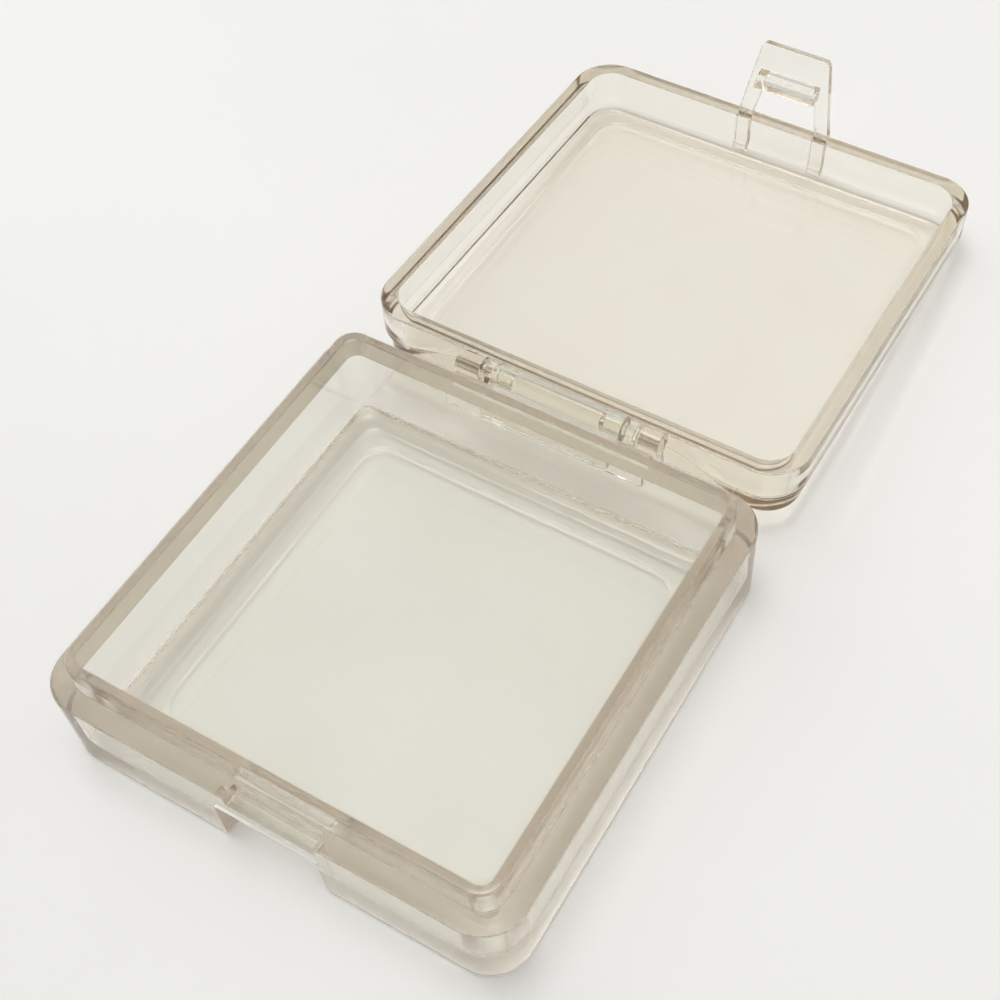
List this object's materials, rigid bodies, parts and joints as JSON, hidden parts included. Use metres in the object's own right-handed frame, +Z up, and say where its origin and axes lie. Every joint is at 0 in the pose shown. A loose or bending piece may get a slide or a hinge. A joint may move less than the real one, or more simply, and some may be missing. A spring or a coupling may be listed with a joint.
{
  "type": "hinged pick box",
  "caption": "Clear square snap-shut box for guitar picks, lying open, with a hinged lid, a stepped rim and a sprung latch tab.",
  "frame": {"origin": "centre of the base's underside, on the surface that the box stands on", "axes": "+X along the hinge, +Y from the base toward the open lid, +Z up"},
  "size_m": [0.055, 0.1165, 0.0168],
  "materials": {
    "base_plastic": "clear gloss, faint warm tint",
    "lid_plastic": "clear gloss, faint warm tint",
    "latch_plastic": "clear gloss, faint warm tint"
  },
  "bodies": {
    "base": {"base_tray": "base_plastic"},
    "lid": {"lid_shell": "lid_plastic"},
    "latch": {"latch_tab": "latch_plastic"}
  },
  "joints": [
    {"name": "lid_hinge", "type": "hinge", "parent": "base", "child": "lid", "pos_m": [0, 0.02927, 0.0107], "axis": [1, 0, 0], "range_deg": [0, 183]},
    {"name": "latch_flex", "type": "hinge", "parent": "lid", "child": "latch", "pos_m": [0.0003, 0.0865, 0.0077], "axis": [-1, 0, 0], "range_deg": [0, 14], "stiffness_Nm_per_rad": 0.05}
  ]
}
